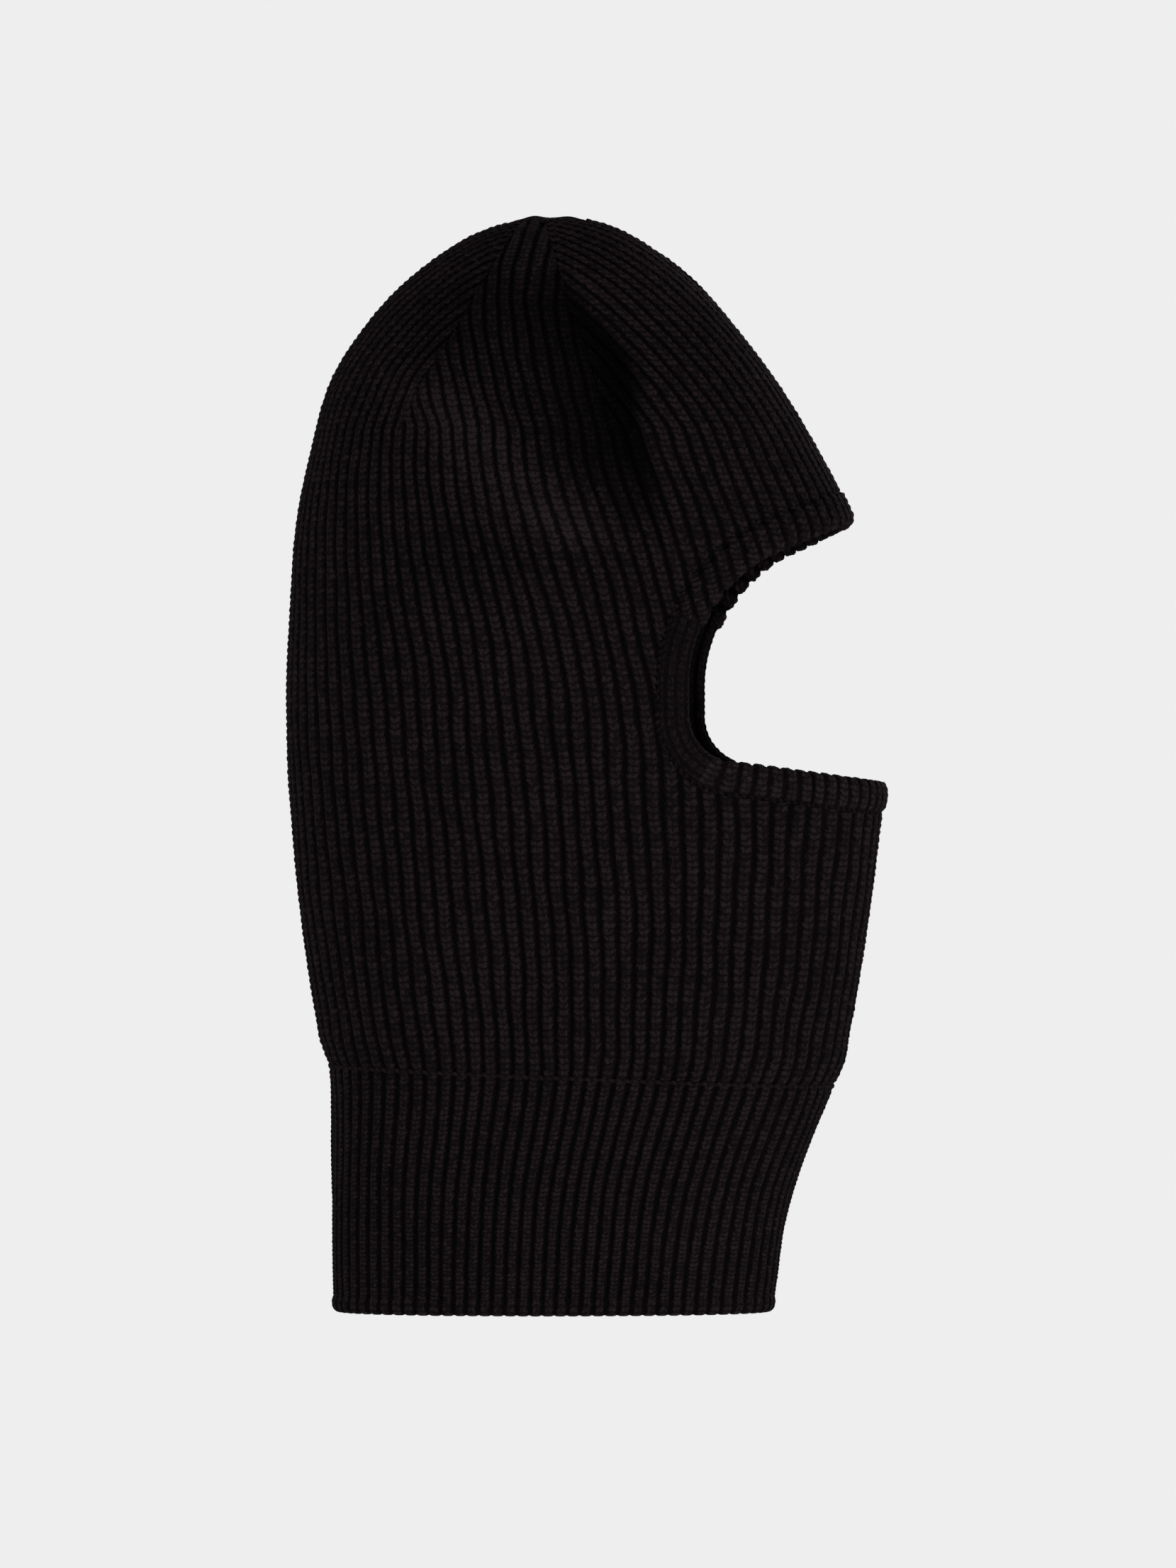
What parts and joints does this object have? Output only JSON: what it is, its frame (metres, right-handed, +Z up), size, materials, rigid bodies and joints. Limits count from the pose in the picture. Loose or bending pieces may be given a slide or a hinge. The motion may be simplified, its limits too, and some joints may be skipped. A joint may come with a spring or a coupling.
{
  "type": "balaclava",
  "caption": "Rib-knitted balaclava with a dome crown, a wide face opening with a tubular trim, and a long close-fitting neck band.",
  "frame": {"origin": "on the surface that the neck hem stands on, below the middle of the whole model's box", "axes": "+Z up through the crown, face opening towards -Y, wearer's left at +X"},
  "size_m": [0.141, 0.23, 0.4211],
  "materials": {
    "rib_knit": "thick rib knit in near-black heathered wool-blend yarn, matt and slightly fuzzy",
    "neck_knit": "rib knit in the same yarn with shorter, tighter stitches",
    "trim_knit": "tubular folded rib trim in the same yarn",
    "linking_yarn": "linked and gathered loops of the same yarn"
  },
  "bodies": {
    "root": {"body_rib_panel": "rib_knit", "crown_back_gore": "rib_knit", "crown_front_gore": "rib_knit", "crown_left_gore": "rib_knit", "crown_right_gore": "rib_knit", "brow_hem": "rib_knit", "neck_rib_band": "neck_knit", "neck_band_hem": "neck_knit", "face_band": "trim_knit", "neck_join_seam": "linking_yarn", "face_opening_seam": "linking_yarn", "back_left_dart_seam": "linking_yarn", "back_right_dart_seam": "linking_yarn", "front_left_dart_seam": "linking_yarn", "front_right_dart_seam": "linking_yarn", "crown_closure": "linking_yarn", "centre_back_seam": "linking_yarn", "neck_band_back_seam": "linking_yarn"}
  },
  "joints": []
}
